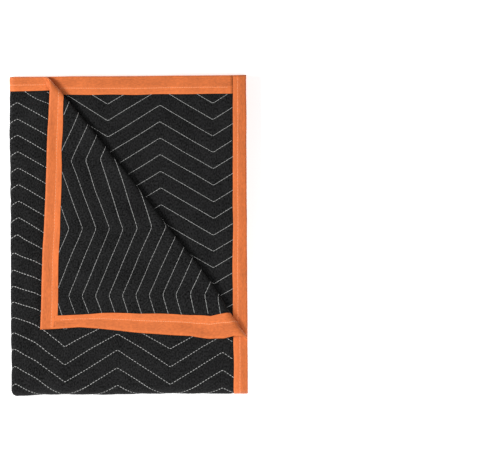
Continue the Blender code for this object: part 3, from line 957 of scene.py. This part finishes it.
def cloth_finish(group):
    """Matt black woven cover with a coarse grey grain."""
    material, shader = new_finish("black_cover_cloth", roughness=0.95, sheen=0.015, specular=0.12)
    tree = material.node_tree
    node = grain(
        tree, group, (1, 0.7, 1),
        fibre_scale=430.0, fibre_contrast=6.5, blotch_scale=30.0, blotch_contrast=1.5,
    )
    colour = shaded_colour(tree, node.outputs["Shade"], BLACK_CLOTH)
    tree.links.new(colour, shader.inputs["Base Color"])
    shader.inputs["Sheen Roughness"].default_value = 0.6
    bump(tree, shader, node.outputs["Height"], strength=0.5, distance=0.4 * MM)
    return material


def binding_finish(group):
    """Orange tape, streaked along its length, with the painted shade of its section: highlights
    along the lip and the stitch line, darker between the stitch line and the fold.
    """
    material, shader = new_finish("orange_tape", roughness=0.6, sheen=0.03, specular=0.2)
    tree = material.node_tree
    node = grain(
        tree, group, (0.35, 1, 1),
        fibre_scale=500.0, fibre_contrast=0.8, blotch_scale=60.0, blotch_contrast=0.6,
    )
    # Painted shade read from the section: highlights along the lip and the stitch line, darker
    # towards the fold
    painted_shading_node = add_node(tree, "ShaderNodeAttribute", (-650, 350), attribute_name="shade")
    grain_and_painted_shading = add_node(tree, "ShaderNodeMath", (-480, 350), operation="ADD")
    tree.links.new(painted_shading_node.outputs["Fac"], grain_and_painted_shading.inputs[0])
    tree.links.new(node.outputs["Shade"], grain_and_painted_shading.inputs[1])
    colour = shaded_colour(tree, grain_and_painted_shading.outputs[0], ORANGE_TAPE)
    tree.links.new(colour, shader.inputs["Base Color"])
    bump(tree, shader, node.outputs["Height"], strength=0.35, distance=0.3 * MM)
    return material


def thread_finish(name, colour, group):
    """Thread with a fine twist and a slight change of shade along it."""
    material, shader = new_finish(name, roughness=0.6, sheen=0.03, specular=0.3)
    tree = material.node_tree
    node = grain(
        tree, group, (1, 1, 1),
        fibre_scale=1500.0, fibre_contrast=0.25, blotch_scale=60.0, blotch_contrast=0.3,
    )
    shaded = shaded_colour(tree, node.outputs["Shade"], colour)
    tree.links.new(shaded, shader.inputs["Base Color"])
    return material


# Stage

# The photo looks straight down on the packet and is squeezed sideways to PHOTO_SQUEEZE.
# PIXEL_ACROSS is the width that one pixel of it covers. The packet's corner between its two
# bound sides lies at TOP_CORNER_PIXEL, counted from the top left
PHOTO_SQUEEZE = 0.80
PIXEL_ACROSS = 1.965 * MM
FRAME_PIXELS = (500, 469)
TOP_CORNER_PIXEL = (246.2, 74.9)
CAMERA_TURN = math.radians(-0.35)
CAMERA_HEIGHT = 6.0

FLOOR_SIZE = 8
FLOOR_DROP = 0.0004     # the floor lies this far under the packet
FLOOR_GREY = 0.96
FLOOR_GLOW = 0.48       # lights the floor evenly, so that it shows white with hardly a shadow
ROOM_LIGHT = 0.24


def camera():
    """The photo's view from above, with the packet in the left half.

    The picture's plane leans back, so that lengths down the picture come out longer than those
    across it, by the photo's squeeze. The camera gets that lean from its unevenly scaled parent.
    """
    data = bpy.data.cameras.new("photo_view")
    data.type = "ORTHO"
    data.ortho_scale = FRAME_PIXELS[0] * PIXEL_ACROSS
    view = bpy.data.objects.new("photo_view", data)
    lean = bpy.data.objects.new("photo_lean", None)
    turn = bpy.data.objects.new("photo_turn", None)
    for piece in (view, lean, turn):
        bpy.context.scene.collection.objects.link(piece)
    angle = math.acos(PHOTO_SQUEEZE)
    half_gap = math.pi / 4 - angle / 2
    lean.rotation_euler.x = math.pi / 4 + angle / 2
    lean.scale = (1, math.sqrt(2) * math.cos(half_gap), math.sqrt(2) * math.sin(half_gap))
    view.rotation_euler.x = -math.pi / 4
    view.parent = lean
    lean.parent = turn
    turn.rotation_euler.z = CAMERA_TURN
    across = (TOP_CORNER_PIXEL[0] - FRAME_PIXELS[0] / 2) * PIXEL_ACROSS
    down = (TOP_CORNER_PIXEL[1] - FRAME_PIXELS[1] / 2) * PIXEL_ACROSS * PHOTO_SQUEEZE
    corner = Vector((SHIFT[0] + TOP_RUN + EDGE_REACH, SHIFT[1] + EDGE_REACH, 0))
    to_middle = Vector((-across, down, 0))
    to_middle.rotate(turn.rotation_euler)
    turn.location = corner + to_middle + Vector((0, 0, CAMERA_HEIGHT))
    bpy.context.scene.camera = view


def area_light(name, place, size, power):
    """A square soft light that faces the packet, its size in metres and its power in watts."""
    data = bpy.data.lights.new(name, "AREA")
    data.shape = "SQUARE"
    data.size = size
    data.energy = power
    lamp = bpy.data.objects.new(name, data)
    bpy.context.scene.collection.objects.link(lamp)
    lamp.location = place
    lamp.rotation_euler = (Vector() - Vector(place)).to_track_quat("-Z", "Y").to_euler()


def stage():
    """Pale lit floor, a soft light from the left and a weaker one from the front right."""
    bpy.ops.mesh.primitive_plane_add(size=FLOOR_SIZE, location=(0, 0, -FLOOR_DROP))
    floor = bpy.context.object
    floor.name = "floor"
    material, shader = new_finish("pale_floor", roughness=0.9, sheen=0.0, specular=0.3)
    shader.inputs["Base Color"].default_value = (FLOOR_GREY, FLOOR_GREY, FLOOR_GREY, 1)
    shader.inputs["Emission Color"].default_value = (1, 1, 1, 1)
    shader.inputs["Emission Strength"].default_value = FLOOR_GLOW
    floor.data.materials.append(material)
    world = bpy.data.worlds.new("soft_room")
    world.use_nodes = True
    background = world.node_tree.nodes["Background"]
    background.inputs["Color"].default_value = (1, 1, 1, 1)
    background.inputs["Strength"].default_value = ROOM_LIGHT
    bpy.context.scene.world = world
    bpy.context.scene.view_settings.view_transform = "Standard"
    area_light("key", (-2.4, 0.0, 2.5), size=0.9, power=124)
    area_light("fill", (0.8, -1.0, 1.5), size=0.8, power=17)


def main():
    """Finishes, camera and stage, then the pieces; the model's cloth and binding parts are hidden.
    """
    group = fibre_grain_group()
    cloth = cloth_finish(group)
    orange = binding_finish(group)
    grey_thread = thread_finish("grey_thread", GREY_THREAD, group)
    peach_thread = thread_finish("peach_thread", PEACH_THREAD, group)
    camera()
    stage()
    pad = quilted_pad(cloth)
    strips = bindings(orange)
    threads = seam_stitches(grey_thread) + binding_stitches(peach_thread)
    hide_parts("quilted_cloth")
    nodes = (
        "binding_long_upper", "binding_short_turned", "binding_short_second", "binding_long_lower",
    )
    for strip, node in zip(strips, nodes):
        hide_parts(node)


main()
